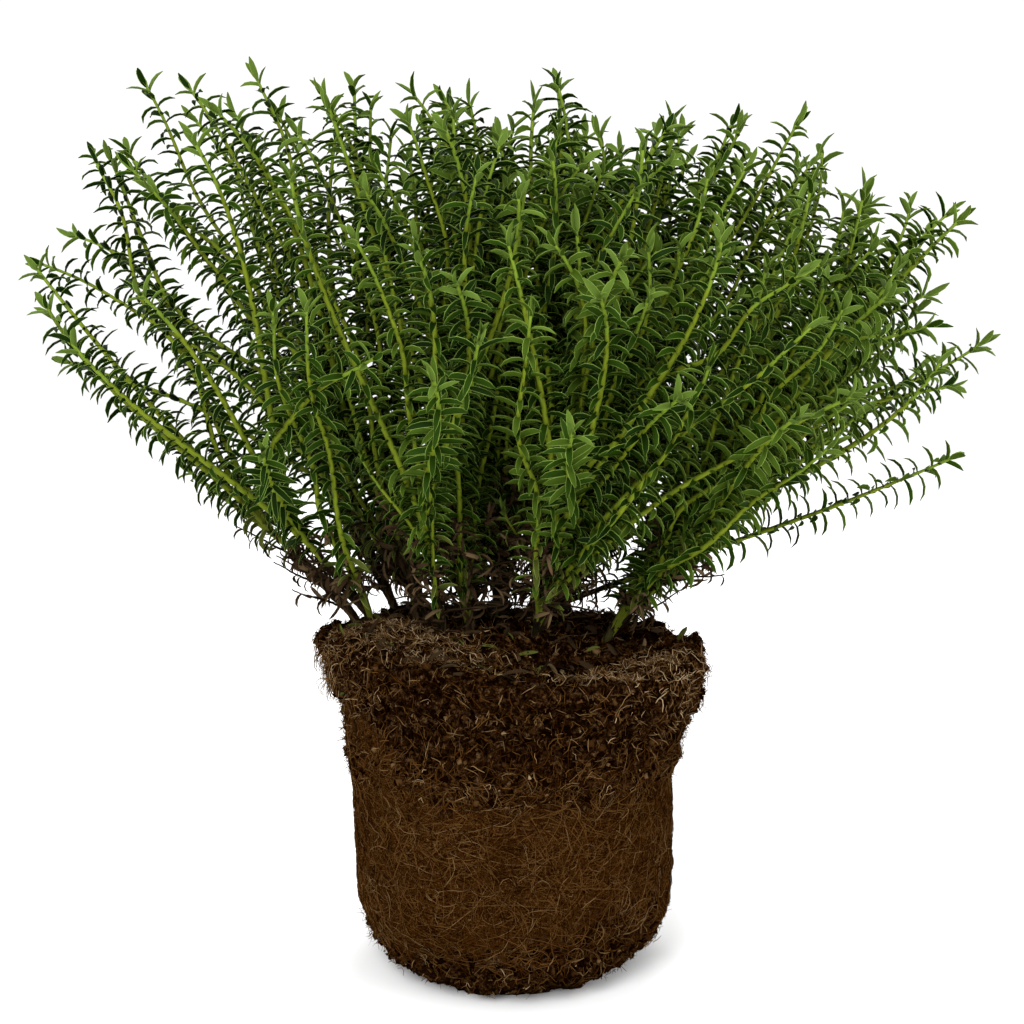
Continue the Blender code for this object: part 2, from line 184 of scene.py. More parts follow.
# Root ball
BALL_COLUMNS = 330
BALL_ROWS = 170
STRANDS = 2500
FINE_STRANDS = 6000
CRUMBS = 8000
STRAWS = 6400
STRAW_CLUMP = (-0.045, -0.020, 0.024)
HOLLOW = (0.030, -0.034, 0.026)
PEAT_EDGE = 0.083
PEAT_RISE = 0.036
PEAT_RISE_SPAN = (-0.028, -0.068)
FOOT_SLANT = 0.22
# How many straws lie in each clump, its middle, and its spread across and front to back
STRAW_CLUMPS = (
    (620, -0.054, -0.022, 0.014, 0.018),
    (300, -0.024, -0.040, 0.014, 0.012),
    (420, 0.036, -0.060, 0.008, 0.007),
    (380, 0.068, -0.042, 0.011, 0.014),
)

# Photo's camera
CAMERA_PLACE = Vector((0.0, -0.80, 0.3235))
CAMERA_PITCH = math.radians(8.33)
CAMERA_LENS = 63.3
CAMERA_SHIFT = 0.0

UP = Vector((0.0, 0.0, 1.0))


def heading(lean, azimuth):
    """The unit direction that leans from upright by lean, towards azimuth."""
    return Vector((math.sin(lean) * math.cos(azimuth), math.sin(lean) * math.sin(azimuth), math.cos(lean)))


def smooth_step(low, high, value):
    share = np.clip((value - low) / (high - low), 0.0, 1.0)
    return share * share * (3.0 - 2.0 * share)


def frame_along(direction):
    """Two unit vectors square to a direction and to each other."""
    across = direction.cross(UP)
    if across.length < 1e-3:
        across = Vector((1.0, 0.0, 0.0))
    across.normalize()
    return across, across.cross(direction).normalized()


def unit(vectors):
    return vectors / np.maximum(np.linalg.norm(vectors, axis=-1, keepdims=True), 1e-12)


# Materials

def plain(name, colour, roughness, specular=0.5):
    """A material with one colour all over."""
    made = bpy.data.materials.new(name)
    made.use_nodes = True
    shader = made.node_tree.nodes["Principled BSDF"]
    shader.inputs["Base Color"].default_value = (*colour, 1.0)
    shader.inputs["Roughness"].default_value = roughness
    shader.inputs["Specular IOR Level"].default_value = specular
    return made


class Nodes:
    """A material's node tree, with short ways to add to it."""

    def __init__(self, name):
        self.material = bpy.data.materials.new(name)
        self.material.use_nodes = True
        self.tree = self.material.node_tree
        self.shader = self.tree.nodes["Principled BSDF"]
        self.place = self.tree.nodes.new("ShaderNodeTexCoord").outputs["Object"]

    def link(self, source, target):
        self.tree.links.new(source, target)

    def scaled(self, scale):
        mapping = self.tree.nodes.new("ShaderNodeMapping")
        mapping.inputs["Scale"].default_value = scale
        self.link(self.place, mapping.inputs["Vector"])
        return mapping.outputs["Vector"]

    def noise(self, scale, detail=6.0, roughness=0.6, distortion=0.0, vector=None):
        made = self.tree.nodes.new("ShaderNodeTexNoise")
        made.inputs["Scale"].default_value = scale
        made.inputs["Detail"].default_value = detail
        made.inputs["Roughness"].default_value = roughness
        made.inputs["Distortion"].default_value = distortion
        self.link(vector or self.place, made.inputs["Vector"])
        return made.outputs["Fac"]

    def ramp(self, factor, stops):
        made = self.tree.nodes.new("ShaderNodeValToRGB")
        colours = made.color_ramp.elements
        while len(colours) < len(stops):
            colours.new(0.5)
        for element, (position, colour) in zip(colours, stops):
            element.position = position
            element.color = (*colour, 1.0)
        self.link(factor, made.inputs["Fac"])
        return made.outputs["Color"]

    def mix(self, factor, first, second, blend="MIX"):
        made = self.tree.nodes.new("ShaderNodeMix")
        made.data_type = "RGBA"
        made.blend_type = blend
        if isinstance(factor, float):
            made.inputs["Factor"].default_value = factor
        else:
            self.link(factor, made.inputs["Factor"])
        self.link(first, made.inputs[6])
        self.link(second, made.inputs[7])
        return made.outputs[2]

    def height(self):
        split = self.tree.nodes.new("ShaderNodeSeparateXYZ")
        self.link(self.place, split.inputs["Vector"])
        return split.outputs["Z"]

    def sideways(self):
        split = self.tree.nodes.new("ShaderNodeSeparateXYZ")
        self.link(self.place, split.inputs["Vector"])
        return split.outputs["X"]

    def span(self, value, low, high):
        made = self.tree.nodes.new("ShaderNodeMapRange")
        made.interpolation_type = "SMOOTHSTEP"
        made.inputs["From Min"].default_value = low
        made.inputs["From Max"].default_value = high
        self.link(value, made.inputs["Value"])
        return made.outputs["Result"]

    def add(self, first, second, share=1.0):
        made = self.tree.nodes.new("ShaderNodeMath")
        made.operation = "MULTIPLY_ADD"
        self.link(second, made.inputs[0])
        made.inputs[1].default_value = share
        self.link(first, made.inputs[2])
        return made.outputs[0]

    def bump(self, height, strength, distance):
        made = self.tree.nodes.new("ShaderNodeBump")
        made.inputs["Strength"].default_value = strength
        made.inputs["Distance"].default_value = distance
        self.link(height, made.inputs["Height"])
        self.link(made.outputs["Normal"], self.shader.inputs["Normal"])


def root_mat_material():
    """Matted roots low down and crumbling peat above, with fibres in every direction."""
    made = Nodes("root_mat")
    fibres = made.add(
        made.noise(190.0, 4.0, 0.72, 2.4, made.scaled((1.0, 1.0, 3.4))),
        made.noise(250.0, 4.0, 0.72, 2.8, made.scaled((3.2, 3.2, 1.0))),
        0.8,
    )
    mat = made.ramp(made.span(fibres, 0.62, 1.22), (
        (0.0, (0.0060, 0.0014, 0.0002)),
        (0.36, (0.0220, 0.0066, 0.0010)),
        (0.66, (0.0600, 0.0235, 0.0052)),
        (1.0, (0.1900, 0.1020, 0.0350)),
    ))
    grit = made.noise(300.0, 8.0, 0.78)
    peat = made.ramp(made.span(grit, 0.34, 0.68), (
        (0.0, (0.0012, 0.0003, 0.0001)),
        (0.42, (0.0085, 0.0027, 0.0007)),
        (0.74, (0.0380, 0.0170, 0.0058)),
        (1.0, (0.1350, 0.0800, 0.0360)),
    ))
    wander = made.noise(30.0, 4.0)
    at = made.add(made.height(), wander, 0.030)
    rise = made.span(made.sideways(), *PEAT_RISE_SPAN)
    upper = made.span(made.add(at, rise, -PEAT_RISE), PEAT_EDGE + 0.016, PEAT_EDGE + 0.024)
    lower = made.span(made.add(at, made.sideways(), -FOOT_SLANT), 0.052, 0.042)
    colour = made.mix(upper, mat, peat)
    colour = made.mix(lower, colour, peat)
    made.link(colour, made.shader.inputs["Base Color"])
    made.shader.inputs["Roughness"].default_value = 1.0
    made.shader.inputs["Specular IOR Level"].default_value = 0.0
    made.bump(made.add(fibres, grit, 1.2), 0.9, 0.0012)
    return made.material


def bark_material():
    """Brown ridged bark, darker in its furrows and greenish in patches."""
    made = Nodes("bark")
    ridges = made.noise(420.0, 5.0, 0.65, 0.4, made.scaled((1.0, 1.0, 0.22)))
    patches = made.noise(60.0, 3.0)
    brown = made.ramp(made.span(ridges, 0.36, 0.66), (
        (0.0, (0.004, 0.0022, 0.0008)),
        (0.5, (0.018, 0.0105, 0.0042)),
        (1.0, (0.052, 0.034, 0.015)),
    ))
    green = made.ramp(made.span(ridges, 0.36, 0.66), (
        (0.0, (0.007, 0.0065, 0.0018)),
        (1.0, (0.050, 0.046, 0.013)),
    ))
    colour = made.mix(made.span(patches, 0.55, 0.68), brown, green)
    made.link(colour, made.shader.inputs["Base Color"])
    made.shader.inputs["Roughness"].default_value = 0.95
    made.shader.inputs["Specular IOR Level"].default_value = 0.05
    made.bump(ridges, 0.8, 0.0006)
    return made.material


# The four greens from leaf_deep to leaf_light are random tone and also lit and shaded copies of one leaf colour:
# painted light and painted shade pick among them
LEAF_TONES = {
    "leaf_deep": (0.0036, 0.0118, 0.0006),
    "leaf_dark": (0.0064, 0.0196, 0.0008),
    "leaf_mid": (0.0148, 0.0375, 0.0014),
    "leaf_light": (0.0405, 0.0740, 0.0055),
    "leaf_young": (0.0820, 0.1330, 0.0190),
    "leaf_olive": (0.060, 0.070, 0.0120),
    "leaf_dead": (0.029, 0.0170, 0.0080),
    "leaf_dry": (0.092, 0.060, 0.0300),
}
EDGE_TONES = {
    "edge_green": (0.186, 0.266, 0.0560),
    "edge_young": (0.178, 0.272, 0.0480),
    "edge_dead": (0.034, 0.020, 0.0095),
}
TWIG_TONES = {
    "twig_tip": (0.142, 0.212, 0.0200),
    "twig_green": (0.148, 0.194, 0.0130),
    "twig_olive": (0.108, 0.128, 0.0120),
    "twig_brown": (0.034, 0.026, 0.0100),
    "twig_dry": (0.017, 0.011, 0.0055),
}
ROOT_TONES = {
    "root_dark": (0.0160, 0.0048, 0.0007),
    "root_brown": (0.0470, 0.0165, 0.0031),
    "root_orange": (0.0960, 0.0450, 0.0125),
    "root_tan": (0.1700, 0.1020, 0.0440),
    "root_pale": (0.3600, 0.2550, 0.1450),
}
PEAT_TONES = {
    "peat_black": (0.0034, 0.0009, 0.0002),
    "peat_dark": (0.0120, 0.0042, 0.0010),
    "peat_brown": (0.0290, 0.0120, 0.0034),
    "peat_rust": (0.0560, 0.0260, 0.0084),
    "chip_tan": (0.1050, 0.0600, 0.0250),
    "chip_pale": (0.2500, 0.1750, 0.0900),
    "moss": (0.0500, 0.0700, 0.0200),
}


def palette(tones, roughness, specular):
    """A list of plain materials, and each one's number in it by name."""
    materials = [plain(name, colour, roughness, specular) for name, colour in tones.items()]
    return materials, {name: i for i, name in enumerate(tones)}


# Meshes from arrays

def mesh_object(name, vertices, quads, tones, materials, smooth=True):
    """An object from arrays of vertices and four-sided faces, with a material number for each face."""
    mesh = bpy.data.meshes.new(name)
    mesh.vertices.add(len(vertices))
    mesh.vertices.foreach_set("co", np.ascontiguousarray(vertices, np.float32).ravel())
    mesh.loops.add(quads.size)
    mesh.loops.foreach_set("vertex_index", np.ascontiguousarray(quads, np.int32).ravel())
    mesh.polygons.add(len(quads))
    mesh.polygons.foreach_set("loop_start", np.arange(0, quads.size, 4, dtype=np.int32))
    for material in materials:
        mesh.materials.append(material)
    mesh.polygons.foreach_set("material_index", np.ascontiguousarray(tones, np.int32))
    mesh.update(calc_edges=True)
    if smooth:
        mesh.shade_smooth()
    made = bpy.data.objects.new(name, mesh)
    bpy.context.scene.collection.objects.link(made)
    return made


def dress(piece, slot, *nodes):
    """Hangs a piece on the root body and hides the solids that it stands for; its slot is not used."""
    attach(piece, "root")
    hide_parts(*nodes)


def repeat_quads(pattern, count, stride):
    """One item's faces for every item, each with its own run of vertices."""
    return (pattern[None] + stride * np.arange(count)[:, None, None]).reshape(-1, 4)


def tubes(points, radii, sides, reference, flatness=1.0):
    """Vertices and faces of many tubes at once. points is (tubes, rings, 3) and radii is (tubes, rings)."""
    count, rings, _ = points.shape
    along = unit(np.gradient(points, axis=1))
    across = unit(np.cross(along, reference))
    upward = np.cross(across, along)
    turn = np.arange(sides) * math.tau / sides
    ring = (across[:, :, None] * np.cos(turn)[:, None] + flatness * upward[:, :, None] * np.sin(turn)[:, None])
    vertices = points[:, :, None] + radii[:, :, None, None] * ring
    first = np.arange(rings - 1)[:, None] * sides + np.arange(sides)
    second = np.arange(rings - 1)[:, None] * sides + (np.arange(sides) + 1) % sides
    pattern = np.stack([first, second, second + sides, first + sides], -1).reshape(-1, 4)
    return vertices.reshape(-1, 3), repeat_quads(pattern, count, rings * sides)


# Stems and shoots as paths

class Mass:
    """One stem and the shoots that it carries: where it stands, which way it leans and how far it goes."""

    def __init__(self, index, ring, place):
        count, lean, foot_radius = RINGS[ring]
        draw = random.Random(f"stem {index}")
        self.index = index
        self.ring = ring
        self.azimuth = RING_TURN * ring + math.tau * (place + draw.uniform(-0.12, 0.12)) / count
        towards_depth = math.sin(self.azimuth)
        upright = (FRONT_UPRIGHT if towards_depth < 0 else BACK_UPRIGHT) * towards_depth**2 * min(ring, 1)
        self.lean = (lean + draw.uniform(-1, 1) * LEAN_JITTER) * (1.0 - upright)
        self.aim = heading(self.lean, self.azimuth)
        x = FOOT_CENTRE.x + foot_radius * math.cos(self.azimuth)
        y = FOOT_CENTRE.y + foot_radius * FOOT_DEPTH_SHARE * math.sin(self.azimuth)
        self.foot = Vector((x, y, soil_height(x, y)))
        self.foot_aim = heading(self.lean * FOOT_LEAN_SHARE, self.azimuth)
        self.length = WOODY_LENGTH * draw.uniform(0.85, 1.15)
        self.fork = self.foot + (self.foot_aim + self.aim).normalized() * self.length

    def stem_path(self):
        """From the socket's floor to the fork: straight out of the soil, then bending to the mass's own lean."""
        below = self.foot - self.foot_aim * SOCKET_DEPTH
        above = self.foot + self.foot_aim * 0.010
        middle = above.lerp(self.fork, 0.5) + (self.foot_aim - self.aim) * 0.004
        return [below, self.foot, above, middle, self.fork]

    def stem_radii(self):
        root = STEM_RADIUS * FLARE
        return [root, root, STEM_RADIUS, STEM_RADIUS * 0.9, STEM_RADIUS * TIP_TAPER]

    def shoot_aim(self, shoot):
        """The direction of a shoot's tip: the leader's own, or one of those that stand round it."""
        if shoot == 0:
            return self.aim
        across, upward = frame_along(self.aim)
        turn = self.azimuth + math.tau * shoot / (SOLID_SHOOTS - 1)
        sideways = across * math.cos(turn) + upward * math.sin(turn)
        return (self.aim + sideways * math.tan(SHOOT_SPREAD)).normalized()

    def shoot_path(self, shoot):
        """A curve from the fork or the leader to the crown's outline."""
        draw = random.Random(f"shoot {self.index} {shoot}")
        aim = self.shoot_aim(shoot)
        tip = CROWN_CENTRE + aim * (crown_reach(aim) * draw.uniform(*REACH_RANGE) - TIP_LEAVES)
        leader_aim = (self.aim + self.foot_aim * 0.35).normalized()
        start = self.fork + leader_aim * CLEARANCE
        if shoot > 0:
            leader = self.shoot_path(0)
            points, aims = along_path(leader, np.array([FORK_STEP * shoot]))
            start, leader_aim = Vector(points[0]), Vector(aims[0])
        span = (tip - start).length
        turn = Vector([draw.uniform(-1, 1) * TIP_JITTER for _ in range(3)])
        end_aim = ((tip - start) / span + TIP_SWEEP + turn).normalized()
        start_aim = leader_aim if shoot == 0 else ((tip - start) / span + leader_aim * 0.4).normalized()
        return hermite(start, start_aim * span, tip, end_aim * span, SHOOT_STEPS)

    def more_path(self, aim, reach, bow, draw):
        """A shoot that leaves the stem or its leader anywhere above the soil, and how far from the soil that is."""
        share = draw.uniform(*(SOIL_STARTS if draw.random() < SOIL_SHARE else MORE_STARTS))
        start, leave, base = self.foot.lerp(self.fork, min(share, 1.0)), self.foot_aim, share * self.length
        if share > 1.0:
            along = LEADER_STRETCH * (share - 1.0)
            points, aims = along_path(self.shoot_path(0), np.array([along]))
            start, leave, base = Vector(points[0]), Vector(aims[0]), self.length + along
        tip = CROWN_CENTRE + aim * (reach - TIP_LEAVES)
        span = (tip - start).length
        turn = Vector([draw.uniform(-1, 1) * 1.3 * TIP_JITTER for _ in range(3)])
        straight = (tip - start) / span
        start_aim = (straight + leave * 0.8 + UP * bow).normalized()
        end_aim = (straight + (straight - start_aim) * ARCH + TIP_SWEEP + turn).normalized()
        path = hermite(start, start_aim * span, tip, end_aim * span, SHOOT_STEPS)
        return path + waves(draw, span), base

    def short_path(self, shoot):
        """A short side shoot low on the stem, turned outwards and up, and how far from the soil it starts."""
        draw = random.Random(f"short {self.index} {shoot}")
        azimuth = self.azimuth + draw.uniform(-SHORT_TURN, SHORT_TURN)
        in_front = self.aim.y < IN_FRONT
        tilt = draw.uniform(*(FRONT_SHORT_TILT if in_front else SHORT_TILT))
        lean = min(self.lean + math.radians(tilt), LOW_LEAN[1])
        share = draw.uniform(*SHORT_STARTS)
        start = self.foot.lerp(self.fork, share)
        length = draw.uniform(*(FRONT_SHORT_LENGTH if in_front else SHORT_LENGTH))
        tip = start + heading(lean, azimuth) * length
        path = hermite(start, self.aim * length, tip, heading(lean * 0.6, azimuth) * length, SHOOT_STEPS)
        return path, share * self.length


def crown_reach(aim):
    """How far the crown goes from its centre: square-shouldered seen from the front, rounder from the side."""
    across = abs(aim.x) / CROWN_HALF_WIDTH
    upward = max(aim.z, 0.0) / (CROWN_HEIGHT * (1.0 - LEFT_TALLER * aim.x))
    seen = (across**CROWN_POWER + upward**CROWN_POWER) ** (1.0 / CROWN_POWER)
    depth = CROWN_FRONT_DEPTH if aim.y < 0 else CROWN_BACK_DEPTH
    reach = (seen**DEPTH_POWER + abs(aim.y / depth) ** DEPTH_POWER) ** (-1.0 / DEPTH_POWER)
    lean = math.acos(max(-1.0, min(1.0, aim.z)))
    fade = LOW_FADE * (1.0 - LEFT_FADE * aim.x) * smooth_step(*LOW_LEAN, lean)
    near = FRONT_NARROWER * max(0.0, -aim.y)
    return float(reach * (1.0 - LEFT_LONGER * aim.x) * (1.0 - fade) * (1.0 - near))


def waves(draw, span):
    """How far a shoot wanders to and fro along its way, ending where it should."""
    share = np.linspace(0.0, 1.0, SHOOT_STEPS + 1)[:, None]
    fade = np.sin(math.pi * share)
    swing = np.array([draw.uniform(-1, 1) for _ in range(3)]) * WANDER * span
    turns = draw.uniform(1.2, 2.6)
    return fade * swing * np.sin(math.tau * (turns * share + draw.random()))


def hermite(start, start_pull, end, end_pull, steps):
    """Points on a cubic curve from start to end with those pulls at its ends."""
    t = np.linspace(0.0, 1.0, steps + 1)[:, None]
    a = 2 * t**3 - 3 * t**2 + 1
    b = t**3 - 2 * t**2 + t
    c = 3 * t**2 - 2 * t**3
    d = t**3 - t**2
    return np.array(start) * a + np.array(start_pull) * b + np.array(end) * c + np.array(end_pull) * d


def plan_masses():
    made = []
    for ring, (count, _, _) in enumerate(RINGS):
        for place in range(count):
            made.append(Mass(len(made), ring, place))
    return made


def far_aim(right_lean, back_lean):
    """The direction that leans by so many degrees to the right and towards the back."""
    across, depth = math.radians(right_lean), math.radians(back_lean)
    return Vector((math.sin(across) * math.cos(depth), math.sin(depth), math.cos(across) * math.cos(depth)))


def more_shoots(masses):
    """The shoots that the solid model leaves out, each where the crown has most room, by the mass they grow on."""
    draw = random.Random("more shoots")
    chosen = [(far_aim(across, depth), reach, bow) for across, depth, reach, bow in FAR_SHOOTS]
    aims = [mass.shoot_aim(shoot) for mass in masses for shoot in range(SOLID_SHOOTS)]
    aims += [aim for aim, _, _ in chosen]
    taken = [aim * crown_reach(aim) for aim in aims]
    for _ in range(MORE_SHOOTS):
        best_room, aim = -1.0, None
        for _ in range(TRIALS):
            lean, azimuth = MAX_LEAN * draw.random() ** 0.85, draw.uniform(0, math.tau)
            trial = heading(lean * (1.0 - FRONT_UPRIGHT * max(0.0, -math.sin(azimuth)) ** 2), azimuth)
            wanted = (UPRIGHT_BIAS - lean / MAX_LEAN) * (1.0 + RIGHT_BIAS * trial.x)
            tip = trial * crown_reach(trial)
            room = min((tip - other).length for other in taken) * wanted
            if room > best_room:
                best_room, aim = room, trial
        taken.append(aim * crown_reach(aim))
        chosen.append((aim, crown_reach(aim) * math.sqrt(draw.uniform(*RANDOM_REACH)), draw.uniform(*BOW)))
    chosen += [(far_aim(across, depth), reach, bow) for across, depth, reach, bow in CORNER_SHOOTS]
    made = {mass.index: [] for mass in masses}
    for aim, reach, bow in chosen:
        nearest = sorted(masses, key=lambda near: near.aim.angle(aim))
        mass = draw.choices(nearest[:len(NEAREST_SHARES)], NEAREST_SHARES)[0]
        made[mass.index].append(mass.more_path(aim, reach, bow, draw))
    return made


def along_path(path, distances):
    """Points at distances along a path, and the path's unit direction there."""
    steps = np.linalg.norm(np.diff(path, axis=0), axis=1)
    travelled = np.concatenate([[0.0], np.cumsum(steps)])
    points = np.stack([np.interp(distances, travelled, path[:, k]) for k in range(3)], 1)
    directions = unit(np.gradient(path, axis=0))
    aims = unit(np.stack([np.interp(distances, travelled, directions[:, k]) for k in range(3)], 1))
    return points, aims


def path_length(path):
    return float(np.linalg.norm(np.diff(path, axis=0), axis=1).sum())


# Soil

def soil_height(x, y):
    """The height of the soil's gently uneven top."""
    waves = math.sin(61 * x + 1.1) * math.cos(53 * y - 0.4) + 0.5 * math.sin(97 * y + 83 * x)
    azimuth = math.atan2(y, x)
    towards_side = max(0.0, math.cos(azimuth - RAISED_AZIMUTH))
    raised = RAISED_SIDE * towards_side * smooth_step(0.030, SOIL_EDGE, math.hypot(x, y))
    from_stems = math.hypot(x - FOOT_CENTRE.x, y - FOOT_CENTRE.y)
    mound = MOUND * (1.0 - smooth_step(0.025, SOIL_EDGE, from_stems))
    return float(BALL_HEIGHT + SOIL_RELIEF * waves + raised + mound)


def ball_profile():
    """The outline of the root ball as (radius, height), from the top's centre down its side to the underside."""
    return np.array((
        (0.0, BALL_HEIGHT),
        (0.024, BALL_HEIGHT),
        (0.048, BALL_HEIGHT),
        (SOIL_EDGE, BALL_HEIGHT),
        (RIM_RADIUS - 0.0015, BALL_HEIGHT),
        (RIM_RADIUS, BALL_HEIGHT - 0.003),
        (RIM_RADIUS - 0.004, BALL_HEIGHT - RIM_LIP),
        (BALL_RADIUS + 0.0042, BALL_HEIGHT - 0.024),
        (BALL_RADIUS + 0.0028, BALL_HEIGHT - 0.046),
        (BALL_RADIUS + 0.0003, BALL_HEIGHT - 0.062),
        (BALL_RADIUS, 0.054),
        (BALL_RADIUS - 0.0002, CHAMFER),
        (UNDERSIDE_RADIUS + 0.0158, 0.45 * CHAMFER),
        (UNDERSIDE_RADIUS + 0.0090, 0.0055),
        (UNDERSIDE_RADIUS, 0.0),
        (0.0, 0.0),
    ))


def uneven(radius, azimuth, height):
    """Where the real ball bulges, sinks or frays, as in the solid model."""
    if height < 1e-6:
        return radius * math.cos(azimuth), radius * math.sin(azimuth), height
    bulge = SIDE_RELIEF * (math.sin(3 * azimuth + 40 * height) + 0.6 * math.sin(7 * azimuth - 55 * height))
    at_rim = smooth_step(BALL_HEIGHT - 0.030, BALL_HEIGHT, height)
    fray = at_rim * 0.0022 * (math.sin(5 * azimuth + 0.7) + math.sin(11 * azimuth))
    depth = BALL_HEIGHT - height
    below_lip = smooth_step(0.003, 0.017, depth) * (1.0 - smooth_step(0.025, 0.051, depth))
    flare = RIGHT_FLARE * max(0.0, math.cos(azimuth)) * below_lip
    out = radius + smooth_step(0.050, SOIL_EDGE, radius) * (bulge + fray + flare)
    x, y = out * math.cos(azimuth), out * math.sin(azimuth)
    top_share = smooth_step(BALL_HEIGHT - 0.040, BALL_HEIGHT - 0.002, height)
    return x, y, height + top_share * (soil_height(x, y) - BALL_HEIGHT)


class Ball:
    """The root ball's surface as a grid of points, rows from the middle of its top to its underside."""

    def __init__(self):
        profile = ball_profile()
        steps = np.linalg.norm(np.diff(profile, axis=0), axis=1)
        travelled = np.concatenate([[0.0], np.cumsum(steps)])
        wanted = np.linspace(0.0, travelled[-1], BALL_ROWS)
        radii = np.interp(wanted, travelled, profile[:, 0])
        heights = np.interp(wanted, travelled, profile[:, 1])
        azimuths = np.arange(BALL_COLUMNS) * math.tau / BALL_COLUMNS
        self.smooth = np.array([[uneven(r, a, z) for a in azimuths] for r, z in zip(radii, heights)])
        self.normals = self.find_normals(self.smooth)
        self.points = self.roughened()
        self.normals = self.find_normals(self.points)

    @staticmethod
    def find_normals(grid):
        down = np.gradient(grid, axis=0)
        around = (np.roll(grid, -1, axis=1) - np.roll(grid, 1, axis=1)) / 2
        normals = np.cross(down, around)
        normals[0] = (0.0, 0.0, 1.0)
        normals[-1] = (0.0, 0.0, -1.0)
        return unit(normals)

    def roughened(self):
        """Coarse crumbs on the top and the upper third, a tight mat below, crumbs again at the foot."""
        rough = self.smooth.copy()
        for row in range(1, BALL_ROWS - 1):
            height = self.smooth[row, :, 2].mean()
            if height < 0.0005:
                continue
            for column in range(BALL_COLUMNS):
                place = Vector(self.smooth[row, column])
                level = height + 0.012 * noise.noise(place * 30)
                edge = PEAT_EDGE + PEAT_RISE * smooth_step(*PEAT_RISE_SPAN, place.x)
                peat = float(smooth_step(0.0, 0.012, level - edge)
                             + 0.7 * smooth_step(0.034, 0.020, level - FOOT_SLANT * place.x))
                coarse = noise.fractal(place * 95, 1.0, 2.1, 4)
                lumps = abs(noise.noise(place * 230)) - 0.25
                fine = noise.fractal(place * 450, 0.9, 2.2, 3)
                broad = noise.noise(place * 42)
                push = peat * (0.0030 * coarse + 0.0034 * lumps + 0.0026 * broad) + 0.0005 * fine + 0.0005 * coarse
                rough[row, column] += self.normals[row, column] * push
                if height > BALL_HEIGHT - 0.010:
                    rough[row, column, 2] += self.hump(place)
        rough[..., 2] = np.maximum(rough[..., 2], 0.0)
        return rough

    @staticmethod
    def hump(place):
        """The clump of straw that stands up at the left, and the hollow in front of the stems."""
        clump = math.hypot(place.x - STRAW_CLUMP[0], place.y - STRAW_CLUMP[1]) / STRAW_CLUMP[2]
        hollow = math.hypot(place.x - HOLLOW[0], place.y - HOLLOW[1]) / HOLLOW[2]
        return 0.0060 * math.exp(-clump * clump) - 0.0055 * math.exp(-hollow * hollow)

    def at(self, column, row, lift):
        """Points on the surface at fractional columns and rows, lifted off it."""
        column = np.mod(column, BALL_COLUMNS)
        row = np.clip(row, 0.0, BALL_ROWS - 1.001)
        left, above = column.astype(int) % BALL_COLUMNS, row.astype(int)
        right, below = (left + 1) % BALL_COLUMNS, above + 1
        u, v = (column - np.floor(column))[..., None], (row - above)[..., None]
        place = ((1 - v) * ((1 - u) * self.points[above, left] + u * self.points[above, right])
                 + v * ((1 - u) * self.points[below, left] + u * self.points[below, right]))
        return place + self.normals[above, left] * np.asarray(lift)[..., None]

    def normal(self, column, row):
        above = np.clip(row, 0, BALL_ROWS - 1).astype(int)
        return self.normals[above, np.mod(column, BALL_COLUMNS).astype(int) % BALL_COLUMNS]

    def spacing(self, row):
        """How far apart the columns are at a row, and the rows are, in metres."""
        radius = np.linalg.norm(self.smooth[np.clip(row, 0, BALL_ROWS - 1).astype(int), 0, :2], axis=-1)
        down = np.linalg.norm(self.smooth[1, 0] - self.smooth[0, 0])
        return np.maximum(radius, 0.004) * math.tau / BALL_COLUMNS, down

    def row_of(self, height, on_side=True):
        """The row of the side that is nearest to a height."""
        side = self.smooth[:, 0, 2]
        rows = np.arange(BALL_ROWS)
        outer = np.linalg.norm(self.smooth[:, 0, :2], axis=1) > UNDERSIDE_RADIUS - 0.001
        outer &= rows > BALL_ROWS * 0.25
        return rows[outer][np.argmin(np.abs(side[outer][None] - np.atleast_1d(height)[:, None]), axis=1)]


def ball_skin(ball, material):
    """The root ball's closed surface."""
    rows = np.arange(BALL_ROWS - 1)[:, None] * BALL_COLUMNS
    here = np.arange(BALL_COLUMNS)
    after = (here + 1) % BALL_COLUMNS
    quads = np.stack([rows + here, rows + here + BALL_COLUMNS, rows + after + BALL_COLUMNS, rows + after], -1)
    quads = quads.reshape(-1, 4)
    piece = mesh_object("root_ball_skin", ball.points.reshape(-1, 3), quads, np.zeros(len(quads)), [material])
    dress(piece, "root_ball", "root_ball")


def walk(ball, rng, columns, rows, headings, length, steps, curl, lift):
    """Winding lines over the ball's surface, as (lines, points, 3)."""
    count = len(columns)
    bend = rng.normal(0.0, curl, count)
    step = length / (steps - 1)
    points = []
    lifts = lift * rng.uniform(0.2, 1.0, (count, steps))
    for k in range(steps):
        points.append(ball.at(columns, rows, lifts[:, k]))
        around, down = ball.spacing(rows)
        headings = headings + bend + rng.normal(0.0, curl * 0.6, count)
        columns = columns + np.cos(headings) * step / around
        rows = np.clip(rows + np.sin(headings) * step / down, 2, BALL_ROWS - 6)
    return np.stack(points, 1)


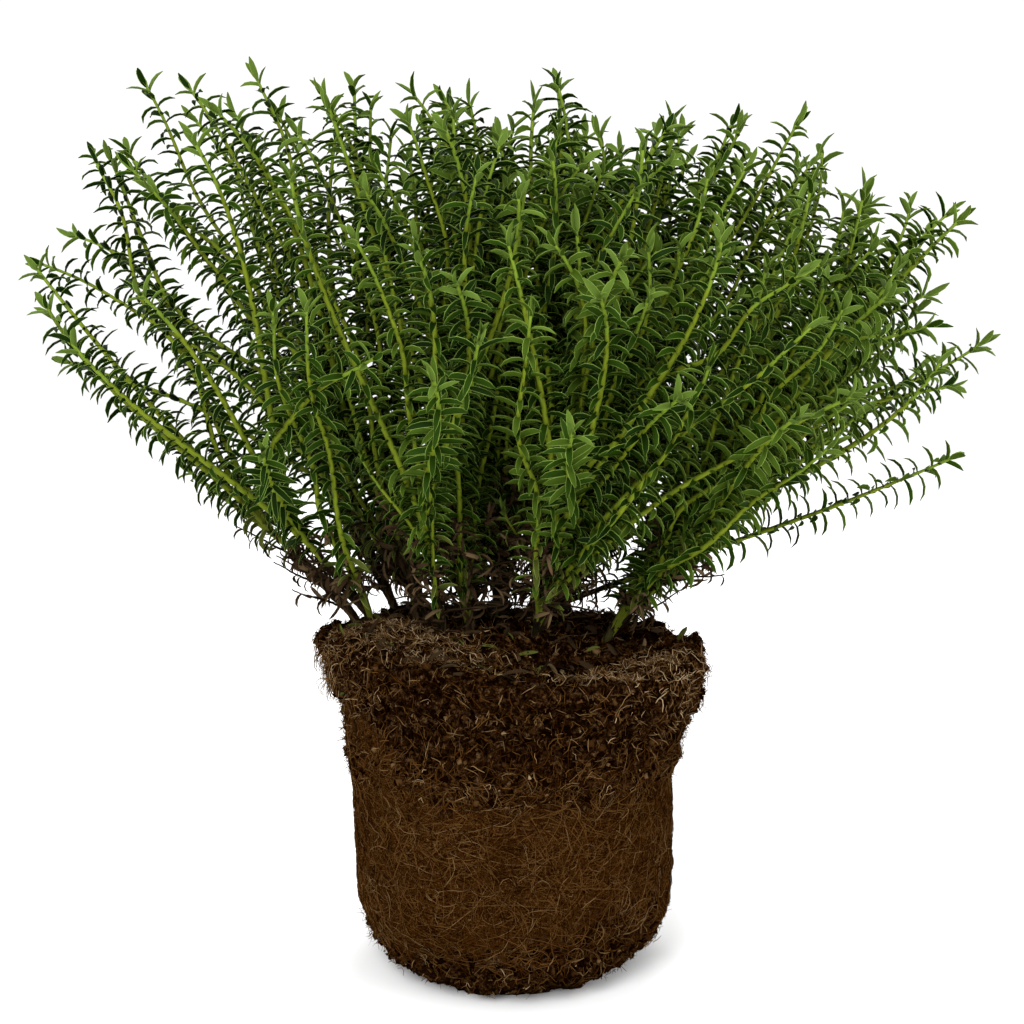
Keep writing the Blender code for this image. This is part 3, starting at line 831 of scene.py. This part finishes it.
def root_strands(ball):
    """Fine roots wound round the ball, and shorter hairs between them."""
    rng = np.random.default_rng(11)
    materials, tone = palette(ROOT_TONES, 1.0, 0.0)
    names = ("root_dark", "root_brown", "root_orange", "root_tan", "root_pale")
    low, high = ball.row_of([0.108])[0], ball.row_of([0.021])[0]
    for label, count, steps, lengths, thick, lift, curl, weights in (
        ("roots_long", STRANDS, 9, (0.012, 0.055), 0.00019, 0.0007, 0.19, (0.28, 0.44, 0.26, 0.02, 0.0)),
        ("roots_fine", FINE_STRANDS, 6, (0.004, 0.020), 0.00015, 0.0011, 0.36, (0.22, 0.38, 0.33, 0.07, 0.0)),
    ):
        columns = rng.uniform(0, BALL_COLUMNS, count)
        rows = rng.uniform(low, high, count)
        level = rng.random(count) < 0.55
        headings = np.where(level, rng.normal(0.0, 0.55, count), rng.uniform(0, math.tau, count))
        length = rng.uniform(*lengths, count)
        lines = walk(ball, rng, columns, rows, headings, length, steps, curl, lift)
        lines[..., 2] = np.maximum(lines[..., 2], 2.0 * thick)
        taper = np.interp(np.linspace(0, 1, steps), (0, 0.12, 0.8, 1), (0.3, 1.0, 0.8, 0.1))
        radii = thick * rng.uniform(0.55, 1.3, count)[:, None] * taper
        vertices, quads = tubes(lines, radii, 3, ball.normal(columns, rows)[:, None] + 0.0 * lines)
        tones = np.repeat([tone[name] for name in rng.choice(names, count, p=weights)], (steps - 1) * 3)
        dress(mesh_object(label, vertices, quads, tones, materials), "root_ball", "root_ball")


def scatter(rng, ball, count, top_share):
    """Places for crumbs: columns and rows, most of them on the top and the upper side."""
    on_top = rng.random(count) < top_share
    rim = ball.row_of([BALL_HEIGHT - 0.002])[0]
    peat_end, foot = ball.row_of([0.092])[0], ball.row_of([0.006])[0]
    top_rows = rim * np.sqrt(rng.random(count))
    side_rows = rim + (peat_end - rim) * rng.random(count) ** 1.2
    low = rng.random(count) < 0.22
    side_rows = np.where(low, rng.uniform(ball.row_of([0.024])[0], foot, count), side_rows)
    return rng.uniform(0, BALL_COLUMNS, count), np.where(on_top, top_rows, side_rows)


def peat_crumbs(ball):
    """Broken crumbs of peat, as knocked-about blocks, over the top and the upper side."""
    rng = np.random.default_rng(23)
    materials, tone = palette(PEAT_TONES, 1.0, 0.0)
    columns, rows = scatter(rng, ball, CRUMBS, 0.36)
    size = 0.00027 + 0.00080 * rng.random(CRUMBS) ** 2.5
    centres = ball.at(columns, rows, size * rng.uniform(-0.3, 0.9, CRUMBS))
    corners = np.array([(x, y, z) for z in (-1, 1) for x, y in ((-1, -1), (1, -1), (1, 1), (-1, 1))], float)
    stretch = rng.uniform(0.22, 1.6, (CRUMBS, 1, 3))
    blocks = corners[None] * stretch + rng.normal(0.0, 0.26, (CRUMBS, 8, 3))
    turn = unit(rng.normal(size=(CRUMBS, 3)))
    side = unit(np.cross(turn, rng.normal(size=(CRUMBS, 3))))
    axes = np.stack([turn, side, np.cross(turn, side)], 1)
    vertices = centres[:, None] + size[:, None, None] * (blocks @ axes)
    pattern = np.array([(3, 2, 1, 0), (4, 5, 6, 7), (0, 1, 5, 4), (1, 2, 6, 5), (2, 3, 7, 6), (3, 0, 4, 7)])
    vertices[..., 2] = np.maximum(vertices[..., 2], 0.0)
    names = ("peat_black", "peat_dark", "peat_brown", "peat_rust", "chip_tan", "chip_pale", "moss")
    picks = rng.choice(names, CRUMBS, p=(0.36, 0.31, 0.21, 0.095, 0.018, 0.004, 0.003))
    tones = np.repeat([tone[name] for name in picks], 6)
    piece = mesh_object("peat_crumbs", vertices.reshape(-1, 3), repeat_quads(pattern, CRUMBS, 8), tones,
                        materials, smooth=False)
    dress(piece, "root_ball", "root_ball")


def straw(ball):
    """Bits of straw and fibre in the peat, with pale clumps at the left and at the front right."""
    rng = np.random.default_rng(37)
    materials, tone = palette(ROOT_TONES, 1.0, 0.0)
    columns, rows = scatter(rng, ball, STRAWS, 0.28)
    rim = ball.row_of([BALL_HEIGHT - 0.002])[0]
    first = 0
    for number, x, y, across, along in STRAW_CLUMPS:
        places = rng.normal((x, y), (across, along), (number, 2))
        azimuths = np.arctan2(places[:, 1], places[:, 0])
        columns[first:first + number] = azimuths / math.tau * BALL_COLUMNS
        rows[first:first + number] = rim * np.linalg.norm(places, axis=1) / (RIM_RADIUS - 0.002)
        first += number
    steps = 4
    length = rng.uniform(0.0018, 0.0075, STRAWS)
    headings = rng.uniform(0, math.tau, STRAWS)
    lines = walk(ball, rng, columns, rows, headings, length, steps, 0.12, 0.0020)
    tilt = rng.normal(0.0, 0.0016, (STRAWS, 1)) * np.linspace(-1, 1, steps)
    lines += ball.normal(columns, rows)[:, None] * np.abs(tilt)[..., None]
    lines[..., 2] = np.maximum(lines[..., 2], 0.0004)
    radii = rng.uniform(0.00010, 0.00029, (STRAWS, 1)) * np.array((0.6, 1.0, 1.0, 0.4))
    vertices, quads = tubes(lines, radii, 3, ball.normal(columns, rows)[:, None] + 0.0 * lines, 0.6)
    names = ("root_dark", "root_brown", "root_orange", "root_tan", "root_pale")
    picks = rng.choice(names, STRAWS, p=(0.22, 0.32, 0.29, 0.155, 0.015))
    pale = rng.choice(names, STRAWS, p=(0.06, 0.14, 0.22, 0.38, 0.20))
    picks = np.where(np.arange(STRAWS) < first, pale, picks)
    tones = np.repeat([tone[name] for name in picks], (steps - 1) * 3)
    dress(mesh_object("straw", vertices, quads, tones, materials), "root_ball", "root_ball")


def frayed_rim(ball):
    """Short fibres that stick out of the rim all round, and a shaggy flap that hangs at the left."""
    rng = np.random.default_rng(41)
    materials, tone = palette(ROOT_TONES, 1.0, 0.0)
    steps = 7
    count, hanging = 1000, 420
    azimuth = rng.uniform(0, 360, count)
    azimuth[:hanging] = rng.normal(196, 13, hanging)
    columns = azimuth / 360 * BALL_COLUMNS
    heights = BALL_HEIGHT - rng.uniform(-0.002, 0.022, count)
    heights[:hanging] = BALL_HEIGHT - rng.uniform(-0.004, 0.012, hanging)
    rows = ball.row_of(heights).astype(float)
    start = ball.at(columns, rows, np.full(count, -0.0010))
    outward = ball.normal(columns, rows)
    sway = rng.normal(0.0, 0.50, (count, 3))
    curl = rng.normal(0.0, 0.35, (count, 3))
    length = rng.uniform(0.002, 0.007, count)
    length[:hanging] = rng.uniform(0.005, 0.014, hanging)
    share = np.linspace(0, 1, steps)[None, :, None]
    fall = np.array((0.0, 0.0, -1.0)) * np.where(np.arange(count) < hanging, 1.1, 0.25)[:, None]
    lines = start[:, None] + length[:, None, None] * (
        share * (0.45 * outward + 0.5 * sway)[:, None] * (1.0 - 0.5 * share)
        + np.sin(2.6 * share) ** 2 * 0.5 * curl[:, None] + share**1.5 * 0.7 * fall[:, None])
    radii = rng.uniform(0.00012, 0.00032, (count, 1)) * np.linspace(1.0, 0.3, steps)
    vertices, quads = tubes(lines, radii, 3, outward[:, None] + 0.0 * lines)
    names = ("root_dark", "root_brown", "root_orange", "root_tan", "root_pale")
    picks = rng.choice(names, count, p=(0.16, 0.28, 0.27, 0.24, 0.05))
    tones = np.repeat([tone[name] for name in picks], (steps - 1) * 3)
    dress(mesh_object("frayed_rim", vertices, quads, tones, materials), "root_ball", "root_ball")


# Plant

def bark_stem(mass, material):
    """A woody stem with ridged bark and swollen joints."""
    sides, rings = 16, 46
    path = np.array([tuple(point) for point in mass.stem_path()])
    total = path_length(path)
    distances = np.linspace(0.0, total, rings)
    corners = np.concatenate([[0.0], np.cumsum(np.linalg.norm(np.diff(path, axis=0), axis=1))])
    points, _ = along_path(path, distances)
    radii = np.interp(distances, corners, mass.stem_radii())
    joints = 1.0 + 0.10 * np.maximum(0.0, np.cos(distances * math.tau / 0.0062)) ** 6
    vertices, quads = tubes(points[None], (radii * joints)[None], sides, np.array((0.3, 0.9, 0.1)))
    middles = np.repeat(points, sides, axis=0)
    relief = np.array([0.16 * noise.noise(Vector((p[0] * 900, p[1] * 900, p[2] * 180))) for p in vertices])
    vertices = middles + (vertices - middles) * (1.0 + relief[:, None])
    piece = mesh_object(f"bark_{mass.index:02d}", vertices, quads, np.zeros(len(quads)), [material])
    dress(piece, "bark", f"stem_{mass.index:02d}")


class Leaves:
    """Leaves gathered from many shoots, made into one mesh at the end."""

    FIELDS = ("roots", "axes", "outs", "lifts", "bends", "lengths", "widths", "rolls", "tops", "edges")

    def __init__(self):
        self.parts = {field: [] for field in self.FIELDS}

    def add(self, **values):
        for field in self.FIELDS:
            self.parts[field].append(values[field])

    def mesh(self, name, materials):
        """Each leaf arches back along its length and has a shallow fold and a pale edge."""
        gathered = {field: np.concatenate(parts) for field, parts in self.parts.items()}
        root, axis, out = gathered["roots"], gathered["axes"], gathered["outs"]
        lift, bend, length, width, roll, top, edge = (gathered[field][:, None] for field in self.FIELDS[3:])
        count, stations, fine_steps = len(root), len(LEAF_STATIONS), 20
        angle = lift + bend * np.linspace(0, 1, fine_steps + 1)[None]
        step = np.stack([np.cos(angle), np.sin(angle)], -1) * (length / fine_steps)[..., None]
        travelled = np.concatenate([np.zeros((count, 1, 2)), np.cumsum(step[:, :-1], axis=1)], 1)
        picks = np.rint(LEAF_STATIONS * fine_steps).astype(int)
        reach, angle = travelled[:, picks], angle[:, picks]
        middle = root[:, None] + reach[..., :1] * axis[:, None] + reach[..., 1:] * out[:, None]
        flat_side = np.cross(axis, out)[:, None] * np.ones((1, stations, 1))
        above = axis[:, None] * np.sin(angle)[..., None] - out[:, None] * np.cos(angle)[..., None]
        side = flat_side * np.cos(roll)[..., None] + above * np.sin(roll)[..., None]
        above = above * np.cos(roll)[..., None] - flat_side * np.sin(roll)[..., None]
        half = (0.5 * width * LEAF_OUTLINE)[..., None, None]
        spread = np.array((-1.0, MARGIN_SHARE - 1.0, 0.0, 1.0 - MARGIN_SHARE, 1.0))[:, None]
        across = side[:, :, None] * spread + above[:, :, None] * LEAF_FOLD * np.abs(spread)
        rows = middle[:, :, None] + half * across
        columns = len(spread)
        first = np.arange(stations - 1)[:, None] * columns + np.arange(columns - 1)
        pattern = np.stack([first, first + 1, first + 1 + columns, first + columns], -1).reshape(-1, 4)
        tones = np.repeat(np.concatenate([edge, top, top, edge], 1)[:, None], stations - 1, axis=1).reshape(-1)
        quads = repeat_quads(pattern, count, columns * stations)
        return mesh_object(name, rows.reshape(-1, 3), quads, tones, materials)


def plant_materials():
    """All of the plant's plain colours in one list, and each one's number in it by name."""
    materials, numbers = [], {}
    for name, colour in (LEAF_TONES | EDGE_TONES | TWIG_TONES).items():
        dull = "dead" in name or "dry" in name or "brown" in name
        numbers[name] = len(materials)
        materials.append(plain(name, colour, 0.9 if dull else 0.50, 0.02 if dull else 0.03))
    return materials, numbers


def leafy_shoot(leaves, path, base, rng, tone, spray_and_side_light, size, habit):
    """Crossed pairs of leaves down a shoot from its tip: upright at the tip, then opening and bending back.

    base is how far up its stem the shoot starts. Gives the distances of the pairs from the tip.
    """
    total = path_length(path)
    gaps = np.arange(int(total / PAIR_GAP[0]) + 2)
    gaps = PAIR_GAP[0] + (PAIR_GAP[1] - PAIR_GAP[0]) * smooth_step(0, PAIRS_TO_OPEN, gaps)
    from_tip = np.cumsum(gaps * rng.uniform(0.92, 1.08)) - PAIR_GAP[0]
    from_tip = from_tip[from_tip < total - 0.001]
    pairs = len(from_tip)
    number = np.arange(pairs, dtype=float)
    points, aims = along_path(path, total - from_tip)
    above_soil = base + total - from_tip
    across = unit(np.cross(aims, np.array((0.15, 0.25, 1.0))))
    upward = np.cross(across, aims)
    turn = rng.normal(0.0, 0.38) + math.pi / 2 * number + np.cumsum(rng.normal(0.0, 0.05, pairs))
    opening = smooth_step(-0.6, PAIRS_TO_OPEN, number)
    greenness = above_soil + rng.uniform(*habit.fresh)
    # Painted light near the tip and painted shade further down the shoot, inside the crown
    painted_light_and_shade = PAINTED_TIP_LIGHT - habit.shade * smooth_step(*PAINTED_SHADE_ZONE, from_tip)
    for side in (0, 1):
        angle = turn + math.pi * side + rng.normal(0.0, 0.20, pairs)
        out = across * np.cos(angle)[:, None] + upward * np.sin(angle)[:, None]
        dead = rng.random(pairs) < 0.9 * (1.0 - smooth_step(*DEAD_ZONE, greenness))
        olive = rng.random(pairs) < 0.7 * (1.0 - smooth_step(*OLIVE_ZONE, greenness))
        keep = rng.random(pairs) < 0.985 * smooth_step(*BARE_ZONE, above_soil) * np.where(dead, 0.62, 1.0)
        lift = np.radians(18 + 44 * opening + rng.normal(0.0, 9, pairs))
        bend = np.radians(5 + 64 * habit.bend * opening + rng.normal(0.0, 18, pairs) + np.where(dead, 75, 0))
        length = LEAF_LENGTH * size * (0.84 + 0.16 * smooth_step(-0.8, 3, number)) * rng.uniform(0.78, 1.12, pairs)
        width = LEAF_WIDTH * size * habit.breadth * rng.uniform(0.86, 1.12, pairs) * (1.05 - 0.05 * opening)
        young = (number < rng.integers(2, 4)) & (rng.random(pairs) < 0.75)
        # Each leaf's green: random tone, with painted light on the right side and at the tip, and painted shade
        # inside the crown
        level = np.clip(np.round(spray_and_side_light + painted_light_and_shade + rng.normal(0.0, 0.5, pairs)), 0, 3).astype(int)
        top = np.array([tone[name] for name in ("leaf_deep", "leaf_dark", "leaf_mid", "leaf_light")])[level]
        top = np.where(young, tone["leaf_young"], np.where(olive, tone["leaf_olive"], top))
        shrivelled = np.where(rng.random(pairs) < 0.8, tone["leaf_dead"], tone["leaf_dry"])
        chosen = {
            "roots": points - out * 0.0002, "axes": aims, "outs": out, "lifts": lift, "bends": bend,
            "lengths": np.where(dead, 0.85, 1.0) * length, "widths": np.where(dead, 0.46, 1.0) * width,
            "rolls": rng.normal(0.0, 0.36, pairs) * np.where(dead, 3.0, 1.0),
            "tops": np.where(dead, shrivelled, top),
            "edges": np.where(dead, tone["edge_dead"], np.where(young, tone["edge_young"], tone["edge_green"])),
        }
        leaves.add(**{field: values[keep] for field, values in chosen.items()})
    return from_tip


def shoot_tube(path, base, from_tip, thickness, tone, fresh):
    """A shoot's stem, a little swollen at every second pair of leaves."""
    total = path_length(path)
    distances = np.concatenate([[0.0], np.sort(total - from_tip), [total]])
    points, _ = along_path(path, distances)
    share = distances / total
    radii = thickness * (SHOOT_RADIUS[0] + (SHOOT_RADIUS[1] - SHOOT_RADIUS[0]) * share**1.6)
    radii[::2] *= 1.0 + NODE_SWELL
    radii[-1] *= 0.25
    vertices, quads = tubes(points[None], radii[None], SHOOT_SIDES, np.array((0.25, 0.9, 0.12)))
    above_soil = base + fresh + (distances[1:] + distances[:-1]) / 2
    names = np.where(total + base + fresh - above_soil < 0.022, tone["twig_tip"], tone["twig_green"])
    names = np.where(above_soil < OLIVE_ZONE[1] * 0.8, tone["twig_olive"], names)
    names = np.where(above_soil < OLIVE_ZONE[0], tone["twig_brown"], names)
    names = np.where(above_soil < DEAD_ZONE[0], tone["twig_dry"], names)
    return vertices, quads, np.repeat(names, SHOOT_SIDES)


class Twigs:
    """Tubes gathered into one mesh."""

    def __init__(self):
        self.parts = []
        self.offset = 0

    def add(self, vertices, quads, tones):
        self.parts.append((vertices, quads + self.offset, tones))
        self.offset += len(vertices)

    def mesh(self, name, materials):
        vertices, quads, tones = (np.concatenate(part) for part in zip(*self.parts))
        return mesh_object(name, vertices, quads, tones, materials)


def foliage(mass, more, materials, tone):
    """Every shoot of one mass: one mesh of leaves and one of their stems."""
    rng = np.random.default_rng(1000 + mass.index)
    leaves, twigs = Leaves(), Twigs()
    runs = [(mass.shoot_path(shoot), mass.length + FORK_STEP * shoot, 1.0, 1.0) for shoot in range(SOLID_SHOOTS)]
    runs += [(*found, 0.88, 0.97) for found in more]
    if mass.aim.x > SHORTEST_LEFT:
        runs += [(*mass.short_path(shoot), 0.65, 0.80) for shoot in range(SHORT_SHOOTS)]
    habit = FRONT_LEAVES if mass.aim.y < IN_FRONT else MOST_LEAVES
    scale = habit.size * (1.0 + RIGHT_LEAVES * mass.aim.x)
    for path, base, thickness, size in runs:
        # A random tone for the shoot plus painted light: leaves on the right side of the crown are lighter
        spray_and_side_light = rng.uniform(0.4, 2.7) + 0.7 * mass.aim.x
        from_tip = leafy_shoot(leaves, path, base, rng, tone, spray_and_side_light, size * scale, habit)
        twigs.add(*shoot_tube(path, base, from_tip, thickness, tone, habit.fresh[1]))
    node = f"foliage_{mass.index:02d}"
    dress(twigs.mesh(f"twigs_{mass.index:02d}", materials), "foliage", node)
    dress(leaves.mesh(f"leaves_{mass.index:02d}", materials), "foliage", node)


def withered(rng, number, tone, kinds):
    """What curled dead leaves have in common."""
    return {
        "rolls": rng.normal(0.0, 0.5, number),
        "tops": rng.choice([tone[kind] for kind in kinds], number),
        "edges": np.full(number, tone["edge_dead"]),
    }


def dry_twigs(masses, materials, tone):
    """Dead side twigs low on the stems, with a few curled leaves left on them."""
    rng = np.random.default_rng(77)
    leaves, twigs = Leaves(), Twigs()
    for mass in masses:
        for _ in range(15 if mass.ring == 2 else 26):
            start = np.array(mass.foot.lerp(mass.fork, rng.uniform(0.1, 0.9)))
            azimuth = mass.azimuth + rng.uniform(-1.8, 1.8)
            length = rng.uniform(0.014, 0.042)
            aim = np.array(heading(math.radians(rng.uniform(20, 85)), azimuth))
            end = start + aim * length
            end[2] = max(end[2], BALL_HEIGHT + 0.010)
            path = hermite(start, np.array(mass.aim) * length, end, aim * length, 20)
            path += np.cumsum(rng.normal(0.0, 0.0002, path.shape), axis=0)
            vertices, quads = tubes(path[None], np.linspace(0.0008, 0.0003, 21)[None], 5, np.array((0.2, 0.9, 0.3)))
            twigs.add(vertices, quads, np.full(len(quads), tone["twig_dry"]))
            number = rng.integers(4, 13)
            points, aims = along_path(path, rng.uniform(0.35, 1.0, number) * path_length(path))
            leaves.add(roots=points, axes=aims, outs=unit(np.cross(aims, rng.normal(size=(number, 3)))),
                       lifts=np.radians(rng.uniform(40, 110, number)),
                       bends=np.radians(rng.uniform(40, 150, number)),
                       lengths=rng.uniform(0.006, 0.011, number), widths=rng.uniform(0.0010, 0.0021, number),
                       **withered(rng, number, tone, ("leaf_dead", "leaf_dead", "leaf_dry")))
    for piece in (twigs.mesh("dry_twigs", materials), leaves.mesh("dry_leaves", materials)):
        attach(piece, "root")


def fallen_leaves(ball, materials, tone):
    """Dead leaves lying on the soil."""
    rng = np.random.default_rng(91)
    count = 170
    rim = ball.row_of([BALL_HEIGHT - 0.002])[0]
    columns = rng.uniform(0, BALL_COLUMNS, count)
    rows = rim * 0.92 * np.sqrt(rng.random(count))
    normal = ball.normal(columns, rows)
    leaves = Leaves()
    leaves.add(roots=ball.at(columns, rows, np.full(count, 0.0012)), axes=normal,
               outs=unit(np.cross(normal, rng.normal(size=(count, 3)))),
               lifts=np.radians(rng.uniform(60, 88, count)), bends=np.radians(rng.uniform(-10, 60, count)),
               lengths=rng.uniform(0.006, 0.012, count), widths=rng.uniform(0.0016, 0.0032, count),
               **withered(rng, count, tone, ("leaf_dead", "leaf_dead", "leaf_dry", "leaf_olive")))
    piece = leaves.mesh("fallen_leaves", materials)
    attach(piece, "root")


# Stage

def area_light(name, place, target, size, power):
    data = bpy.data.lights.new(name, "AREA")
    data.size = size
    data.energy = power
    light = bpy.data.objects.new(name, data)
    light.location = place
    light.rotation_euler = (Vector(target) - Vector(place)).to_track_quat("-Z", "Y").to_euler()
    bpy.context.scene.collection.objects.link(light)


def set_stage():
    """A pale floor, a white surround, soft light from above and in front, and the photo's camera."""
    half = 6.0
    mesh = bpy.data.meshes.new("floor")
    mesh.from_pydata([(-half, -half, 0), (half, -half, 0), (half, half, 0), (-half, half, 0)], [], [(0, 1, 2, 3)])
    mesh.materials.append(plain("floor", (0.95, 0.95, 0.95), 0.95, 0.0))
    floor = bpy.data.objects.new("floor", mesh)
    bpy.context.scene.collection.objects.link(floor)

    world = bpy.data.worlds.new("surround")
    bpy.context.scene.world = world
    world.use_nodes = True
    background = world.node_tree.nodes["Background"]
    background.inputs["Color"].default_value = (1.0, 1.0, 1.0, 1.0)
    background.inputs["Strength"].default_value = 1.06

    area_light("key", (-0.5, -1.35, 1.25), (0.0, 0.0, 0.22), 0.9, 23.0)
    area_light("top", (0.2, 0.9, 1.5), (0.0, 0.0, 0.3), 0.9, 12.0)
    area_light("fill", (1.3, -1.0, 0.7), (0.0, 0.0, 0.15), 1.0, 9.0)

    camera = bpy.data.cameras.new("camera")
    camera.lens = CAMERA_LENS
    camera.sensor_width = 36.0
    camera.shift_x = CAMERA_SHIFT
    camera.clip_start = 0.01
    view = bpy.data.objects.new("camera", camera)
    view.location = CAMERA_PLACE
    view.rotation_euler = (math.pi / 2 - CAMERA_PITCH, 0.0, 0.0)
    bpy.context.scene.collection.objects.link(view)
    bpy.context.scene.camera = view
    bpy.context.scene.view_settings.view_transform = "Standard"


def main():
    masses = plan_masses()
    ball = Ball()
    ball_skin(ball, root_mat_material())
    root_strands(ball)
    peat_crumbs(ball)
    straw(ball)
    frayed_rim(ball)
    bark = bark_material()
    materials, tone = plant_materials()
    more = more_shoots(masses)
    for mass in masses:
        bark_stem(mass, bark)
        foliage(mass, more[mass.index], materials, tone)
    dry_twigs(masses, materials, tone)
    fallen_leaves(ball, materials, tone)
    set_stage()


main()
